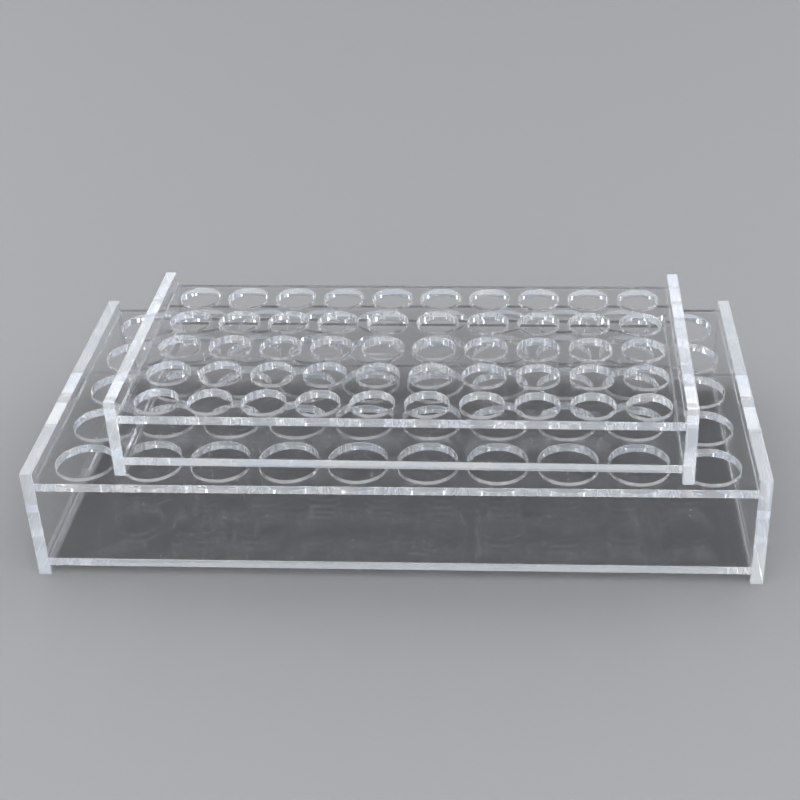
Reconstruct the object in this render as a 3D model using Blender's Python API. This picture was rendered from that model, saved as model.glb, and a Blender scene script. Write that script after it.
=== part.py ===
"""A nesting pair of clear acrylic racks for tubes and vials.

Each rack is four flat plates: two end plates that stand on edge, a deck drilled with a
grid of round holes, and a base plate that the tubes stand on. The deck and the base have
tenons at both ends, which go through mortises in the end plates and are cemented there.
The small rack stands loose on the large rack's deck.

The origin is on the table, under the centre of the large rack. +X runs along the length,
+Y to the back and +Z up. Sizes are in millimetres until a mesh is made.
"""
import math
from collections import namedtuple

import bmesh
import bpy
from mathutils import Matrix, Vector

MM = 0.001

# The grid that both racks share.
COLUMNS = 10
ROWS = 5
HOLE_SEGMENTS = 20

# Space left between two plates that touch or are cemented together.
GAP = 0.3

# pitch, hole_diameter: the grid of holes. inner_length: between the two end plates.
# depth: front to back. end_thickness, sheet_thickness: of the end plates, and of the
# deck and the base. foot: how far the base is held off what the rack stands on.
# clear_height: from the base up to the deck. rim: how far the end plates stand above
# the deck. tenon_length, tenon_centres: the tenons at each end, placed along the depth.
Rack = namedtuple(
    "Rack",
    "name pitch hole_diameter inner_length depth end_thickness sheet_thickness"
    " foot clear_height rim tenon_length tenon_centres",
)

LARGE = Rack(
    name="large",
    pitch=30.0,
    hole_diameter=25.6,
    inner_length=306.0,
    depth=155.0,
    end_thickness=5.5,
    sheet_thickness=4.0,
    foot=5.0,
    clear_height=36.0,
    rim=5.0,
    tenon_length=18.0,
    tenon_centres=(0.0,),
)
SMALL = Rack(
    name="small",
    pitch=23.1,
    hole_diameter=18.7,
    inner_length=236.0,
    depth=118.0,
    end_thickness=5.0,
    sheet_thickness=4.0,
    foot=5.5,
    clear_height=17.0,
    rim=6.5,
    tenon_length=13.0,
    tenon_centres=(-43.5, 43.5),
)

# Where the small rack was set down on the large one: right of centre, nearer the front,
# and turned a little.
SMALL_RIGHT = 4.6
SMALL_FORWARD = 13.5
SMALL_TURN_DEG = -0.65

# Clear cast acrylic sheet.
ACRYLIC_COLOUR = (0.92, 0.95, 0.97, 1.0)
ACRYLIC_ROUGHNESS = 0.06
ACRYLIC_IOR = 1.49

SMOOTH_ANGLE = math.radians(30)


def deck_top(rack):
    """Height of the deck's top face over what the rack stands on."""
    return rack.foot + rack.clear_height + 2 * rack.sheet_thickness


def clear_start():
    """Removes everything that a new file holds."""
    for thing in list(bpy.data.objects):
        bpy.data.objects.remove(thing)


def acrylic(name):
    """The clear plastic of one plate."""
    material = bpy.data.materials.new(name)
    material.use_nodes = True
    shader = material.node_tree.nodes["Principled BSDF"]
    shader.inputs["Base Color"].default_value = ACRYLIC_COLOUR
    shader.inputs["Roughness"].default_value = ACRYLIC_ROUGHNESS
    shader.inputs["Metallic"].default_value = 0.0
    shader.inputs["IOR"].default_value = ACRYLIC_IOR
    shader.inputs["Transmission Weight"].default_value = 1.0
    return material


def circle(centre_x, centre_y, diameter):
    """The corners of a round hole."""
    radius = diameter / 2
    turns = [math.tau * i / HOLE_SEGMENTS for i in range(HOLE_SEGMENTS)]
    return [(centre_x + radius * math.cos(a), centre_y + radius * math.sin(a)) for a in turns]


def rectangle(low_x, low_y, high_x, high_y):
    """The corners of a rectangle, anticlockwise."""
    return [(low_x, low_y), (high_x, low_y), (high_x, high_y), (low_x, high_y)]


def cut_sheet(name, outline, openings, thickness):
    """A plate cut from flat sheet: its outline and openings in XY, its thickness up Z."""
    shape = bmesh.new()
    edges = []
    for loop in [outline, *openings]:
        corners = [shape.verts.new((x * MM, y * MM, 0.0)) for x, y in loop]
        for a, b in zip(corners, corners[1:] + corners[:1]):
            edges.append(shape.edges.new((a, b)))
    bmesh.ops.triangle_fill(shape, use_beauty=True, edges=edges, normal=(0, 0, -1))
    underside = list(shape.faces)
    raised = bmesh.ops.extrude_face_region(shape, geom=underside, use_keep_orig=True)
    top = [item for item in raised["geom"] if isinstance(item, bmesh.types.BMVert)]
    bmesh.ops.translate(shape, verts=top, vec=(0, 0, thickness * MM))
    bmesh.ops.recalc_face_normals(shape, faces=shape.faces)
    mesh = bpy.data.meshes.new(name)
    shape.to_mesh(mesh)
    shape.free()
    mesh.materials.append(acrylic(name))
    mesh.shade_smooth()
    mesh.set_sharp_from_angle(angle=SMOOTH_ANGLE)
    return mesh


def add_plate(mesh, parent, place):
    """Adds a plate to the scene, placed in its rack's own frame."""
    plate = bpy.data.objects.new(mesh.name, mesh)
    bpy.context.collection.objects.link(plate)
    plate.parent = parent
    plate.matrix_local = place
    return plate


def sheet_outline(rack):
    """The outline of a deck or a base: a rectangle with tenons at both ends."""
    shoulder = rack.inner_length / 2 - GAP
    tip = rack.inner_length / 2 + rack.end_thickness
    half_depth = rack.depth / 2
    half_tenon = rack.tenon_length / 2
    right_end = []
    for centre in sorted(rack.tenon_centres):
        low, high = centre - half_tenon, centre + half_tenon
        right_end += [(shoulder, low), (tip, low), (tip, high), (shoulder, high)]
    right_side = [(shoulder, -half_depth), *right_end, (shoulder, half_depth)]
    left_side = [(-x, -y) for x, y in right_side]
    return right_side + left_side


def hole_centres(rack):
    """The grid of holes, centred on the plate."""
    for row in range(ROWS):
        for column in range(COLUMNS):
            x = (column - (COLUMNS - 1) / 2) * rack.pitch
            y = (row - (ROWS - 1) / 2) * rack.pitch
            yield x, y


def add_deck(rack, parent):
    """The drilled plate that holds the tubes upright."""
    holes = [circle(x, y, rack.hole_diameter) for x, y in hole_centres(rack)]
    mesh = cut_sheet(f"{rack.name}_tube_deck", sheet_outline(rack), holes, rack.sheet_thickness)
    underside = deck_top(rack) - rack.sheet_thickness
    add_plate(mesh, parent, Matrix.Translation((0, 0, underside * MM)))


def add_base(rack, parent):
    """The plain plate that the tubes stand on."""
    mesh = cut_sheet(f"{rack.name}_base_plate", sheet_outline(rack), [], rack.sheet_thickness)
    add_plate(mesh, parent, Matrix.Translation((0, 0, rack.foot * MM)))


def add_end_plate(rack, parent, side):
    """An end plate on edge, with mortises for the tenons. side is -1 left, 1 right."""
    height = deck_top(rack) + rack.rim
    outline = rectangle(-rack.depth / 2, 0, rack.depth / 2, height)
    half_mortise = rack.tenon_length / 2 + GAP
    mortises = []
    for centre in rack.tenon_centres:
        for bottom in (rack.foot, deck_top(rack) - rack.sheet_thickness):
            low_y, high_y = centre - half_mortise, centre + half_mortise
            low_z, high_z = bottom - GAP, bottom + rack.sheet_thickness + GAP
            mortises.append(rectangle(low_y, low_z, high_y, high_z))
    side_name = "right" if side > 0 else "left"
    name = f"{rack.name}_{side_name}_end_plate"
    mesh = cut_sheet(name, outline, mortises, rack.end_thickness)
    inner_face = side * rack.inner_length / 2
    low_x = inner_face if side > 0 else inner_face - rack.end_thickness
    # Stands the sheet up: its X runs along the depth, its Y up, its thickness along X.
    upright = Matrix(((0, 0, 1), (1, 0, 0), (0, 1, 0))).to_4x4()
    add_plate(mesh, parent, Matrix.Translation((low_x * MM, 0, 0)) @ upright)


def add_rack(rack, place):
    """One whole rack, on an empty at the centre of its underside."""
    middle = bpy.data.objects.new(f"{rack.name}_rack", None)
    bpy.context.collection.objects.link(middle)
    middle.matrix_world = place
    add_base(rack, middle)
    add_deck(rack, middle)
    for side in (-1, 1):
        add_end_plate(rack, middle, side)


clear_start()
add_rack(LARGE, Matrix.Identity(4))
seat = Vector((SMALL_RIGHT, -SMALL_FORWARD, deck_top(LARGE) + GAP)) * MM
turn = Matrix.Rotation(math.radians(SMALL_TURN_DEG), 4, "Z")
add_rack(SMALL, Matrix.Translation(seat) @ turn)
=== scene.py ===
"""Two clear acrylic racks for tubes and vials, the small one standing on the large one.

Every plate is made here again with fine round holes and softened edges, in the place of
the plain plate that the frame holds. Lengths are in millimetres until a mesh is made.
"""
import math
from types import SimpleNamespace

import bmesh
import bpy
from mathutils import Matrix, Vector


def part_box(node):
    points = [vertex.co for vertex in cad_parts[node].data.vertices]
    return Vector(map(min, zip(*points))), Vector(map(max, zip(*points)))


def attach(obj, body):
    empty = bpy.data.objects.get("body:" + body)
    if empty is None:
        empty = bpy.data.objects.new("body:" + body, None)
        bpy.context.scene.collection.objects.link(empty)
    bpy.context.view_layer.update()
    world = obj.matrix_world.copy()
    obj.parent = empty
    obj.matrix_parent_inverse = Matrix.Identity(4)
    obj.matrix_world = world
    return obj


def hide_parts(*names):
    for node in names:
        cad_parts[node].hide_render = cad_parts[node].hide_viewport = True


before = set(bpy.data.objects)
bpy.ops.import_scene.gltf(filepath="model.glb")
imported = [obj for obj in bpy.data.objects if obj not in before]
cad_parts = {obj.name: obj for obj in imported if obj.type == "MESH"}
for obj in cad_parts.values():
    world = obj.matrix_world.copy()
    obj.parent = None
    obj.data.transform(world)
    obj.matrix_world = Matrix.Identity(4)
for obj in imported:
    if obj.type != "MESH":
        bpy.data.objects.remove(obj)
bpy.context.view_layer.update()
scene = bpy.context.scene

# ---------------------------------------------------------------- camera
# A long lens looks down on the racks from in front, a little right of the middle. The view
# is shifted, so that the racks stand in the middle of it.
MM = 0.001
CAMERA_PLACE = Vector((56.9, -570.7, 405.7)) * MM
CAMERA_TURN_DEG = (60.03, 2.00, 3.67)
CAMERA_LENS = 65.2
CAMERA_SENSOR = 36
CAMERA_SHIFT = (-0.025, -0.075)

camera = bpy.data.objects.new("camera", bpy.data.cameras.new("camera"))
camera.location = CAMERA_PLACE
camera.rotation_euler = [math.radians(a) for a in CAMERA_TURN_DEG]
camera.data.lens = CAMERA_LENS
camera.data.sensor_width = CAMERA_SENSOR
camera.data.shift_x, camera.data.shift_y = CAMERA_SHIFT
scene.collection.objects.link(camera)
scene.camera = camera

# ---------------------------------------------------------------- base plates
# The plain plates that the tubes stand on, sawn from 4 mm clear cast acrylic sheet. The
# tenons at each end go through the end plates and are cemented there: one on the large
# rack, two on the small one.

LARGE = SimpleNamespace(
    name="large", body="large_rack", inner_length=306.0, depth=155.0, turn_deg=0.0,
    end_thickness=5.5, tenon_length=18.0, tenon_centres=(0.0,),
)
SMALL = SimpleNamespace(
    name="small", body="small_rack", inner_length=236.0, depth=118.0, turn_deg=-0.65,
    end_thickness=5.0, tenon_length=13.0, tenon_centres=(-43.5, 43.5),
)
SHEET_THICKNESS = 4.0

# Cemented faces run this far into each other, so that no air shows between them.
CEMENTED = 0.05
# Sawn edges are taken off by this much, in this many steps.
SOFTENED = 0.25
SOFTENED_STEPS = 2
# Faces that meet at more than this keep a crisp line between them.
CRISP = math.radians(12)


def rack_place(rack):
    """The middle of a rack's underside, and how it is turned."""
    left, right = [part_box(f"{rack.name}_{side}_end_plate") for side in ("left", "right")]
    middle = (left[0] + right[1]) / 2
    turn = Matrix.Rotation(math.radians(rack.turn_deg), 4, "Z")
    return Matrix.Translation((middle.x, middle.y, left[0].z)) @ turn


def softened_profile(thickness):
    """How far in and how high each line round a sheet's edge is, from bottom to top."""
    steps = [math.pi / 2 * i / SOFTENED_STEPS for i in range(SOFTENED_STEPS + 1)]
    lower = [(SOFTENED * (1 - math.sin(a)), SOFTENED * (1 - math.cos(a))) for a in steps]
    upper = [(inset, thickness - height) for inset, height in reversed(lower)]
    return lower + upper


def inset_loop(loop, inset):
    """An outline moved into the sheet, which lies on the left as the outline runs."""
    moved = []
    for before, here, after in zip(loop[-1:] + loop[:-1], loop, loop[1:] + loop[:1]):
        sides = [Vector(end) - Vector(start) for start, end in ((before, here), (here, after))]
        first, second = [Vector((-side.y, side.x)).normalized() for side in sides]
        moved.append(Vector(here) + (first + second) * inset / (1 + first.dot(second)))
    return moved


def edge_walls(name, loops, thickness):
    """The sawn edges of a sheet, with nothing yet across its two faces."""
    walls = bmesh.new()
    for loop in loops:
        rings = []
        for inset, height in softened_profile(thickness):
            ring = [walls.verts.new(Vector((x, y, height)) * MM) for x, y in inset_loop(loop, inset)]
            rings.append(ring)
        for low, high in zip(rings, rings[1:]):
            for i in range(len(low)):
                j = (i + 1) % len(low)
                walls.faces.new((low[i], low[j], high[j], high[i]))
    mesh = bpy.data.meshes.new(name)
    walls.to_mesh(mesh)
    walls.free()
    return mesh


def add_node(tree, kind, inputs=None, **settings):
    """A new node. Each input is given a value, or another node's output to read."""
    node = tree.nodes.new(kind)
    for name, value in settings.items():
        setattr(node, name, value)
    for name, value in (inputs or {}).items():
        if isinstance(value, bpy.types.NodeSocket):
            tree.links.new(value, node.inputs[name])
        else:
            node.inputs[name].default_value = value
    return node


# Points closer than WELD become one. A face lies flat if its normal's upright part is over
# LIES_FLAT.
WELD = 0.001
LIES_FLAT = 0.999


def make_sheet_tree():
    """Drills a grid of holes in a sheet and closes its two faces round them."""
    tree = bpy.data.node_groups.new("drilled_sheet", "GeometryNodeTree")
    for name, kind in (
        ("Edge Walls", "NodeSocketGeometry"), ("Hole Wall", "NodeSocketObject"),
        ("Columns", "NodeSocketInt"), ("Rows", "NodeSocketInt"), ("Pitch", "NodeSocketFloat"),
        ("Thickness", "NodeSocketFloat"), ("Face Finish", "NodeSocketMaterial"),
        ("Sawn Finish", "NodeSocketMaterial"), ("Drilled Finish", "NodeSocketMaterial"),
    ):
        tree.interface.new_socket(name, in_out="INPUT", socket_type=kind)
    tree.interface.new_socket("Sheet", in_out="OUTPUT", socket_type="NodeSocketGeometry")
    given = tree.nodes.new("NodeGroupInput").outputs

    def math_node(operation, *values):
        inputs = dict(enumerate(values))
        return add_node(tree, "ShaderNodeMath", inputs, operation=operation).outputs[0]

    def joined(*parts):
        node = tree.nodes.new("GeometryNodeJoinGeometry")
        for part in reversed(parts):
            tree.links.new(part, node.inputs[0])
        return node.outputs[0]

    def up_part(vector):
        return add_node(tree, "ShaderNodeSeparateXYZ", {0: vector}).outputs["Z"]

    def span(count):
        return math_node("MULTIPLY", math_node("SUBTRACT", count, 1.0), given["Pitch"])

    # One hole wall on each point of the grid.
    grid = add_node(tree, "GeometryNodeMeshGrid", {
        "Size X": span(given["Columns"]), "Size Y": span(given["Rows"]),
        "Vertices X": given["Columns"], "Vertices Y": given["Rows"],
    })
    wall = add_node(tree, "GeometryNodeObjectInfo", {
        "Object": given["Hole Wall"],
    }, transform_space="ORIGINAL")
    holes = add_node(tree, "GeometryNodeInstanceOnPoints", {
        "Points": grid.outputs["Mesh"], "Instance": wall.outputs["Geometry"],
    }).outputs[0]
    holes = add_node(tree, "GeometryNodeRealizeInstances", {"Geometry": holes}).outputs[0]
    holes = add_node(tree, "GeometryNodeStoreNamedAttribute", {
        "Geometry": holes, "Name": "drilled", "Value": True,
    }, data_type="BOOLEAN", domain="FACE").outputs[0]
    walls = joined(given["Edge Walls"], holes)

    # The lower rims of all the walls are filled between, and the filling is used twice. A
    # rim's edges have a face on one side only.
    faces_beside = tree.nodes.new("GeometryNodeInputMeshEdgeNeighbors").outputs["Face Count"]
    is_open = math_node("LESS_THAN", faces_beside, 1.5)
    height = up_part(tree.nodes.new("GeometryNodeInputPosition").outputs[0])
    is_low = math_node("LESS_THAN", height, math_node("MULTIPLY", given["Thickness"], 0.5))
    is_rim = math_node("MULTIPLY", is_open, is_low)
    rims = add_node(tree, "GeometryNodeSeparateGeometry", {
        "Geometry": walls, "Selection": is_rim,
    }, domain="EDGE").outputs["Selection"]
    rims = add_node(tree, "GeometryNodeMeshToCurve", {"Mesh": rims}).outputs[0]
    face = add_node(tree, "GeometryNodeFillCurve", {"Curve": rims}).outputs[0]
    lift = add_node(tree, "ShaderNodeCombineXYZ", {"Z": given["Thickness"]}).outputs[0]
    upper = add_node(tree, "GeometryNodeTransform", {
        "Geometry": face, "Translation": lift,
    }).outputs[0]
    lower = add_node(tree, "GeometryNodeFlipFaces", {"Mesh": face}).outputs[0]
    closed = add_node(tree, "GeometryNodeMergeByDistance", {
        "Geometry": joined(walls, upper, lower), "Distance": WELD * MM,
    }).outputs[0]

    # Finishes: the sheet's own faces, then all its walls, then the drilled ones.
    closed = add_node(tree, "GeometryNodeRealizeInstances", {"Geometry": closed}).outputs[0]
    tilt = up_part(tree.nodes.new("GeometryNodeInputNormal").outputs[0])
    is_wall = math_node("LESS_THAN", math_node("ABSOLUTE", tilt), LIES_FLAT)
    is_drilled = add_node(
        tree, "GeometryNodeInputNamedAttribute", {"Name": "drilled"}, data_type="BOOLEAN"
    ).outputs[0]
    for finish, chosen in (
        ("Face Finish", None), ("Sawn Finish", is_wall), ("Drilled Finish", is_drilled),
    ):
        values = {"Geometry": closed, "Material": given[finish]}
        if chosen:
            values["Selection"] = chosen
        closed = add_node(tree, "GeometryNodeSetMaterial", values).outputs[0]
    out = tree.nodes.new("NodeGroupOutput")
    tree.links.new(closed, out.inputs[0])
    return tree


sheet_tree = make_sheet_tree()


def make_marks_group():
    """The fine parallel marks that a saw or a drill leaves across an edge."""
    group = bpy.data.node_groups.new("tool_marks", "ShaderNodeTree")
    for name, kind in (
        ("Stretch", "NodeSocketVector"), ("Fine Size", "NodeSocketFloat"), ("Depth", "NodeSocketFloat"),
    ):
        group.interface.new_socket(name, in_out="INPUT", socket_type=kind)
    for name, kind in (
        ("Marks", "NodeSocketFloat"), ("Patches", "NodeSocketFloat"), ("Normal", "NodeSocketVector"),
    ):
        group.interface.new_socket(name, in_out="OUTPUT", socket_type=kind)
    given = group.nodes.new("NodeGroupInput").outputs
    place = group.nodes.new("ShaderNodeTexCoord").outputs["Object"]
    along = add_node(group, "ShaderNodeVectorMath", {
        0: place, 1: given["Stretch"],
    }, operation="MULTIPLY").outputs[0]
    marks = add_node(group, "ShaderNodeTexNoise", {
        "Vector": along, "Scale": given["Fine Size"], "Detail": 3.0, "Roughness": 0.65,
    }).outputs["Fac"]
    patches = add_node(group, "ShaderNodeTexNoise", {
        "Vector": place, "Scale": 60.0, "Detail": 3.0,
    }).outputs["Fac"]
    bump = add_node(group, "ShaderNodeBump", {
        "Strength": 1.0, "Distance": given["Depth"], "Height": marks,
    })
    out = group.nodes.new("NodeGroupOutput")
    for name, socket in (("Marks", marks), ("Patches", patches), ("Normal", bump.outputs[0])):
        group.links.new(socket, out.inputs[name])
    return group


# A cast face is not quite flat. It swells and sinks by about this much.
WAVE_DEPTH = 0.02


def make_handling_group():
    """Faint hairline scratches and finger smears on a polished face, which is a little wavy."""
    group = bpy.data.node_groups.new("handling", "ShaderNodeTree")
    for name in ("Smears", "Scratches"):
        group.interface.new_socket(name, in_out="INPUT", socket_type="NodeSocketFloat")
    for name, kind in (("Roughness", "NodeSocketFloat"), ("Normal", "NodeSocketVector")):
        group.interface.new_socket(name, in_out="OUTPUT", socket_type=kind)
    given = group.nodes.new("NodeGroupInput").outputs
    place = group.nodes.new("ShaderNodeTexCoord").outputs["Object"]
    smears = add_node(group, "ShaderNodeTexNoise", {
        "Vector": place, "Scale": 14.0, "Detail": 5.0, "Roughness": 0.6, "Distortion": 0.4,
    }).outputs["Fac"]
    smears = add_node(group, "ShaderNodeMapRange", {
        "Value": smears, "From Min": 0.52, "From Max": 0.75, "To Min": 0.0, "To Max": given["Smears"],
    }).outputs[0]
    bend = add_node(group, "ShaderNodeTexNoise", {
        "Vector": place, "Scale": 9.0, "Detail": 1.0,
    }).outputs["Color"]
    bend = add_node(group, "ShaderNodeVectorMath", {
        0: bend, 1: (0.05, 0.05, 0.05),
    }, operation="MULTIPLY").outputs[0]
    bent = add_node(group, "ShaderNodeVectorMath", {0: place, 1: bend}, operation="ADD").outputs[0]
    hairs = add_node(group, "ShaderNodeTexVoronoi", {
        "Vector": bent, "Scale": 22.0,
    }, feature="DISTANCE_TO_EDGE").outputs["Distance"]
    hairs = add_node(group, "ShaderNodeMapRange", {
        "Value": hairs, "From Min": 0.0, "From Max": 0.006, "To Min": given["Scratches"], "To Max": 0.0,
    }).outputs[0]
    rough = add_node(group, "ShaderNodeMath", {0: smears, 1: hairs}, operation="ADD").outputs[0]
    wave = add_node(group, "ShaderNodeTexNoise", {
        "Vector": place, "Scale": 30.0, "Detail": 0.0,
    }).outputs["Fac"]
    bump = add_node(group, "ShaderNodeBump", {
        "Strength": 1.0, "Distance": WAVE_DEPTH * MM, "Height": wave,
    })
    out = group.nodes.new("NodeGroupOutput")
    group.links.new(rough, out.inputs["Roughness"])
    group.links.new(bump.outputs[0], out.inputs["Normal"])
    return group


marks_group = make_marks_group()
handling_group = make_handling_group()
ACRYLIC_IOR = 1.49
# How much of a lamp's light goes through a polished face, and through a sawn or drilled one.
SHADE_OF_FACE = (0.96, 0.963, 0.967)
SHADE_OF_EDGE = (0.8, 0.81, 0.82)
SMEARS = 0.06
SCRATCHES = 0.12
# A cut edge is whiter in some patches than in others.
DULL_PATCH = (0.86, 0.90, 0.97, 1)
WHITE_PATCH = (0.98, 0.99, 1.0, 1)
PATCH_EDGES = (0.35, 0.65)


def clear_plastic(name, clarity, shade):
    """Clear cast acrylic. Shade is what is left of a lamp's light behind one face of it."""
    material = bpy.data.materials.new(name)
    material.use_nodes = True
    tree = material.node_tree
    shader = tree.nodes["Principled BSDF"]
    shader.inputs["IOR"].default_value = ACRYLIC_IOR
    shader.inputs["Transmission Weight"].default_value = clarity
    passing = add_node(tree, "ShaderNodeBsdfTransparent", {"Color": (*shade, 1)})
    is_lamp_ray = tree.nodes.new("ShaderNodeLightPath").outputs["Is Shadow Ray"]
    either = add_node(tree, "ShaderNodeMixShader", {
        0: is_lamp_ray, 1: shader.outputs[0], 2: passing.outputs[0],
    })
    tree.links.new(either.outputs[0], tree.nodes["Material Output"].inputs["Surface"])
    return material, tree, shader


def polished_plastic(name):
    """The sheet's own cast faces."""
    material, tree, shader = clear_plastic(name, 1.0, SHADE_OF_FACE)
    shader.inputs["Base Color"].default_value = (1, 1, 1, 1)
    worn = add_node(tree, "ShaderNodeGroup", node_tree=handling_group)
    worn.inputs["Smears"].default_value = SMEARS
    worn.inputs["Scratches"].default_value = SCRATCHES
    tree.links.new(worn.outputs["Roughness"], shader.inputs["Roughness"])
    tree.links.new(worn.outputs["Normal"], shader.inputs["Normal"])
    return material


def machined_plastic(name, clarity, stretch, fine_size, depth, roughness):
    """A sawn edge or a drilled wall: a little milky, with the fine marks of the tool on it."""
    material, tree, shader = clear_plastic(name, clarity, SHADE_OF_EDGE)
    marks = add_node(tree, "ShaderNodeGroup", node_tree=marks_group)
    marks.inputs["Stretch"].default_value = stretch
    marks.inputs["Fine Size"].default_value = fine_size
    marks.inputs["Depth"].default_value = depth * MM
    white = add_node(tree, "ShaderNodeValToRGB", {"Fac": marks.outputs["Patches"]})
    stops = zip(white.color_ramp.elements, PATCH_EDGES, (DULL_PATCH, WHITE_PATCH))
    for stop, position, colour in stops:
        stop.position = position
        stop.color = colour
    tree.links.new(white.outputs["Color"], shader.inputs["Base Color"])
    rough = add_node(tree, "ShaderNodeMapRange", {
        "Value": marks.outputs["Marks"], "From Min": 0.3, "From Max": 0.7,
        "To Min": roughness[0], "To Max": roughness[1],
    })
    tree.links.new(rough.outputs[0], shader.inputs["Roughness"])
    tree.links.new(marks.outputs["Normal"], shader.inputs["Normal"])
    return material


# The blade and the drill went through the sheet, so their marks run through it too.
ACROSS_FLAT_SHEET = (1.0, 1.0, 0.05)
polished = polished_plastic("polished_acrylic")
sawn = machined_plastic(
    "sawn_acrylic_edge", clarity=0.88, stretch=ACROSS_FLAT_SHEET, fine_size=1000.0,
    depth=0.012, roughness=(0.0, 0.1),
)


def cut_sheet(
    name, loops, thickness, place, edge_finish=sawn, grid=(0, 0, 0.0), hole_wall=None,
    hole_finish=polished,
):
    """A finished plate: its loops' edges walled, drilled and closed, then put in place."""
    blank = bpy.data.objects.new(name, edge_walls(name, loops, thickness))
    scene.collection.objects.link(blank)
    cutting = blank.modifiers.new("cutting", "NODES")
    cutting.node_group = sheet_tree
    columns, rows, pitch = grid
    values = {
        "Hole Wall": hole_wall, "Columns": columns, "Rows": rows, "Pitch": pitch * MM,
        "Thickness": thickness * MM, "Face Finish": polished, "Sawn Finish": edge_finish,
        "Drilled Finish": hole_finish,
    }
    for item in sheet_tree.interface.items_tree:
        if item.in_out == "INPUT" and item.name in values:
            cutting[item.identifier] = values[item.name]
    evaluated = blank.evaluated_get(bpy.context.evaluated_depsgraph_get())
    mesh = bpy.data.meshes.new_from_object(evaluated)
    mesh.name = name
    blank.modifiers.remove(cutting)
    blank.data = mesh
    mesh.transform(place)
    mesh.shade_smooth()
    mesh.set_sharp_from_angle(angle=CRISP)
    return blank


def finish_plate(plate, rack, node):
    """Puts a finished plate in the place of the frame's plain one."""
    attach(plate, rack.body)
    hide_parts(node)


def tenoned_outline(rack):
    """A deck's or a base's outline: a rectangle with tenons at both ends."""
    shoulder = rack.inner_length / 2 + CEMENTED
    tip = rack.inner_length / 2 + rack.end_thickness
    half_depth, half_tenon = rack.depth / 2, rack.tenon_length / 2
    right = [(shoulder, -half_depth)]
    for centre in rack.tenon_centres:
        low, high = centre - half_tenon, centre + half_tenon
        right += [(shoulder, low), (tip, low), (tip, high), (shoulder, high)]
    right.append((shoulder, half_depth))
    return right + [(-x, -y) for x, y in right]


for rack in (LARGE, SMALL):
    rack.place = rack_place(rack)
    rack.ground = rack.place.translation.z
    node = f"{rack.name}_base_plate"
    lift = Matrix.Translation((0, 0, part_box(node)[0].z - rack.ground))
    base = cut_sheet(
        f"{node}_finished", [tenoned_outline(rack)], SHEET_THICKNESS, rack.place @ lift
    )
    finish_plate(base, rack, node)

# ---------------------------------------------------------------- tube decks
# The plates that hold the tubes upright: the same sheet and tenons as the bases, drilled
# through with a grid of ten by five round holes.
COLUMNS, ROWS = 10, 5
LARGE.pitch, LARGE.hole_diameter = 30.0, 25.6
SMALL.pitch, SMALL.hole_diameter = 23.1, 18.7
HOLE_SIDES = 72
drilled = machined_plastic(
    "drilled_acrylic_wall", clarity=0.9, stretch=ACROSS_FLAT_SHEET, fine_size=1000.0,
    depth=0.03, roughness=(0.0, 0.1),
)

for rack in (LARGE, SMALL):
    radius = rack.hole_diameter / 2
    turns = [-math.tau * i / HOLE_SIDES for i in range(HOLE_SIDES)]
    rim = [(radius * math.cos(a), radius * math.sin(a)) for a in turns]
    wall = bpy.data.objects.new("hole_wall", edge_walls("hole_wall", [rim], SHEET_THICKNESS))
    node = f"{rack.name}_tube_deck"
    lift = Matrix.Translation((0, 0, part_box(node)[0].z - rack.ground))
    deck = cut_sheet(
        f"{node}_finished", [tenoned_outline(rack)], SHEET_THICKNESS, rack.place @ lift,
        grid=(COLUMNS, ROWS, rack.pitch), hole_wall=wall, hole_finish=drilled,
    )
    bpy.data.objects.remove(wall)
    finish_plate(deck, rack, node)

# ---------------------------------------------------------------- end plates
# The plates on edge that the racks stand on, with a square mortise through them for each
# tenon. They are sawn from thicker sheet: 5.5 mm on the large rack, 5 mm on the small one.

# These edges were drawn along a cutter, so their marks run along them.
ALONG_UPRIGHT_EDGES = (1.0, 0.02, 0.02)
sawn_upright = machined_plastic(
    "sawn_end_plate_edge", clarity=0.87, stretch=ALONG_UPRIGHT_EDGES, fine_size=1400.0,
    depth=0.01, roughness=(0.0, 0.15),
)


def clockwise_slot(low_x, low_y, high_x, high_y):
    """A square-cornered slot through a sheet."""
    return [(low_x, low_y), (low_x, high_y), (high_x, high_y), (high_x, low_y)]


# The air left round a tenon in its mortise, which shows as a thin outline.
LOOSE = 0.1

# Stands a sheet up: its X runs along the depth, its Y up, its thickness along X.
UPRIGHT = Matrix(((0, 0, 1), (1, 0, 0), (0, 1, 0))).to_4x4()

for rack in (LARGE, SMALL):
    for side, across in (("left", -1), ("right", 1)):
        node = f"{rack.name}_{side}_end_plate"
        height = (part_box(node)[1].z - rack.ground) / MM
        half_depth = rack.depth / 2
        loops = [[(-half_depth, 0), (half_depth, 0), (half_depth, height), (-half_depth, height)]]
        half_slot = rack.tenon_length / 2 + LOOSE
        for sheet in ("base_plate", "tube_deck"):
            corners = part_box(f"{rack.name}_{sheet}")
            bottom, top = [(corner.z - rack.ground) / MM for corner in corners]
            for centre in rack.tenon_centres:
                loops.append(clockwise_slot(
                    centre - half_slot, bottom - LOOSE, centre + half_slot, top + LOOSE,
                ))
        low_x = across * rack.inner_length / 2 - (rack.end_thickness if across < 0 else 0)
        stand = Matrix.Translation((low_x * MM, 0, 0)) @ UPRIGHT
        plate = cut_sheet(
            f"{node}_finished", loops, rack.end_thickness, rack.place @ stand,
            edge_finish=sawn_upright,
        )
        finish_plate(plate, rack, node)

# ---------------------------------------------------------------- floor and light
# A plain pale painted floor, a hair below the racks so that the two never touch, and soft
# studio lamps all round.
FLOOR_REACH = 30.0
FLOOR_DROP = 0.1 * MM
FLOOR_COLOUR = (0.125, 0.127, 0.132, 1)
FLOOR_ROUGHNESS = 0.7

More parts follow.
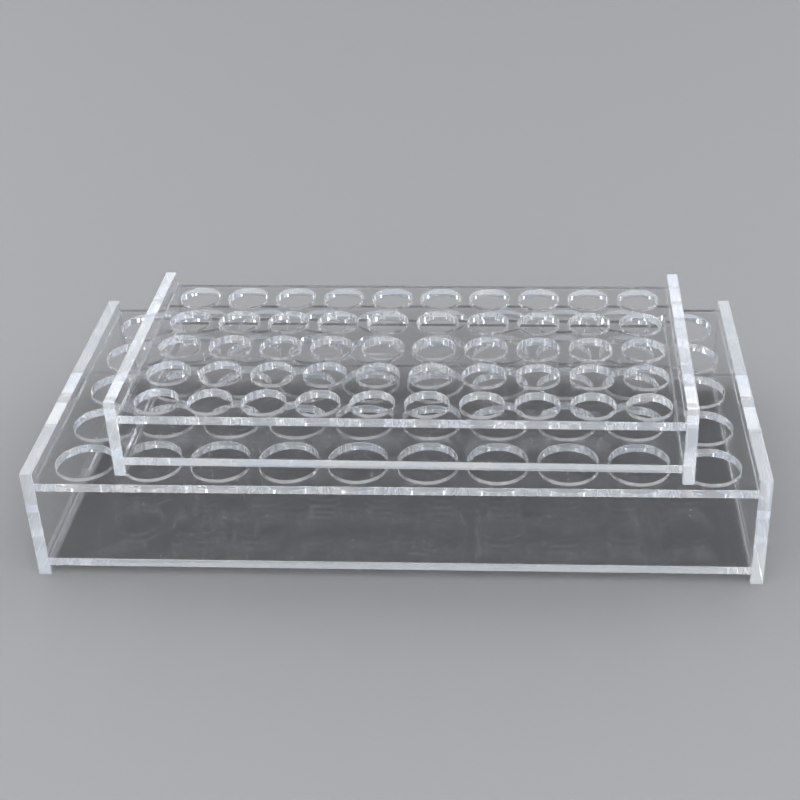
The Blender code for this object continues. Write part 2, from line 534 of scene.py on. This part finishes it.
floor_mesh = bpy.data.meshes.new("floor")
corners = [
    (across * FLOOR_REACH, along * FLOOR_REACH, -FLOOR_DROP)
    for across, along in ((-1, -1), (1, -1), (1, 1), (-1, 1))
]
floor_mesh.from_pydata(corners, [], [(0, 1, 2, 3)])
floor = bpy.data.objects.new("floor", floor_mesh)
scene.collection.objects.link(floor)
paint = bpy.data.materials.new("floor_paint")
paint.use_nodes = True
coat = paint.node_tree.nodes["Principled BSDF"]
coat.inputs["Base Color"].default_value = FLOOR_COLOUR
coat.inputs["Roughness"].default_value = FLOOR_ROUGHNESS
floor_mesh.materials.append(paint)


def add_lamp(name, kind, place, size, power, shiny):
    """A soft lamp that shines at the racks. A shiny one makes highlights, the others only light."""
    lamp = bpy.data.lights.new(name, kind)
    lamp.energy = power
    if kind == "SUN":
        lamp.angle = size
    else:
        lamp.shape, lamp.size, lamp.size_y = "RECTANGLE", size[0], size[1]
    thing = bpy.data.objects.new(name, lamp)
    thing.location = place
    thing.rotation_euler = (-Vector(place)).to_track_quat("-Z", "Y").to_euler()
    thing.visible_glossy = shiny
    thing.visible_transmission = shiny
    thing.visible_diffuse = not shiny
    scene.collection.objects.link(thing)


# The wide, dull light: one high sun, four low ones that also reach the plates' edges, and a
# large lamp in front and at each side.
HIGH_SUN = {"place": (0.4, -0.5, 2.0), "size": math.radians(100), "power": 3.0}
LOW_SUN = {"size": math.radians(70), "power": 2.1}
LOW_SUN_HEIGHT = 0.85
FRONT = {"place": (0.3, -1.7, 1.1), "size": (1.4, 1.4), "power": 14}
SIDE = {"size": (1.4, 1.4), "power": 5}
SIDE_ACROSS, SIDE_ALONG, SIDE_HEIGHT = 1.6, 0.1, 1.0

add_lamp("sky", "SUN", shiny=False, **HIGH_SUN)
for across, along in ((-1, -1), (1, -1), (-1, 1), (1, 1)):
    add_lamp("sky", "SUN", (across, along, LOW_SUN_HEIGHT), shiny=False, **LOW_SUN)
add_lamp("front", "AREA", shiny=False, **FRONT)
for side in (-1, 1):
    place = (SIDE_ACROSS * side, SIDE_ALONG, SIDE_HEIGHT)
    add_lamp("side", "AREA", place, shiny=False, **SIDE)

# The small bright lamps that show in the plastic: upright strips, and sparks between them.
# None stands straight behind, where the polished faces would mirror it to the front.
SHINY_REACH = 3.9
STRIP_BEARINGS_DEG = (34, 66, 108, 152, 208, 252, 294, 326)
STRIP_HEIGHT = 2.25
STRIP = {"size": (0.14, 2.4), "power": 5.5}
SPARK_COUNT = 16
SPARK_START_DEG = 41
SPARK_STEP_DEG = 18.5
SPARK_HEIGHTS = (2.0, 2.7, 3.4, 2.35, 3.05)
SPARK = {"size": (0.09, 0.09), "power": 20}


def round_the_racks(bearing_deg, height):
    """A place at the shiny lamps' distance. A bearing runs clockwise from straight behind."""
    bearing = math.radians(bearing_deg)
    return SHINY_REACH * math.sin(bearing), SHINY_REACH * math.cos(bearing), height


for bearing in STRIP_BEARINGS_DEG:
    add_lamp("strip", "AREA", round_the_racks(bearing, STRIP_HEIGHT), shiny=True, **STRIP)
for step in range(SPARK_COUNT):
    height = SPARK_HEIGHTS[step % len(SPARK_HEIGHTS)]
    place = round_the_racks(SPARK_START_DEG + SPARK_STEP_DEG * step, height)
    add_lamp("spark", "AREA", place, shiny=True, **SPARK)

# The backdrop is dimmer in the plastic than where it is seen past the floor's edge.
BACKDROP_COLOUR = (0.94, 0.96, 1.0, 1)
BACKDROP_IN_PLASTIC = 0.15
BACKDROP_SEEN = 0.34

world = bpy.data.worlds.new("studio")
scene.world = world
world.use_nodes = True
backdrop = world.node_tree.nodes["Background"]
backdrop.inputs["Color"].default_value = BACKDROP_COLOUR
directly_seen = world.node_tree.nodes.new("ShaderNodeLightPath").outputs["Is Camera Ray"]
brightness = add_node(world.node_tree, "ShaderNodeMapRange", {
    "Value": directly_seen, "To Min": BACKDROP_IN_PLASTIC, "To Max": BACKDROP_SEEN,
})
world.node_tree.links.new(brightness.outputs["Result"], backdrop.inputs["Strength"])

# Light is turned inside the plates many times before it leaves them.
BOUNCES = 64

scene.cycles.max_bounces = BOUNCES
scene.cycles.glossy_bounces = BOUNCES
scene.cycles.transmission_bounces = BOUNCES
scene.cycles.transparent_max_bounces = BOUNCES
scene.cycles.caustics_refractive = False
scene.cycles.caustics_reflective = False
scene.view_settings.view_transform = "Standard"
scene.view_settings.look = "Medium High Contrast"
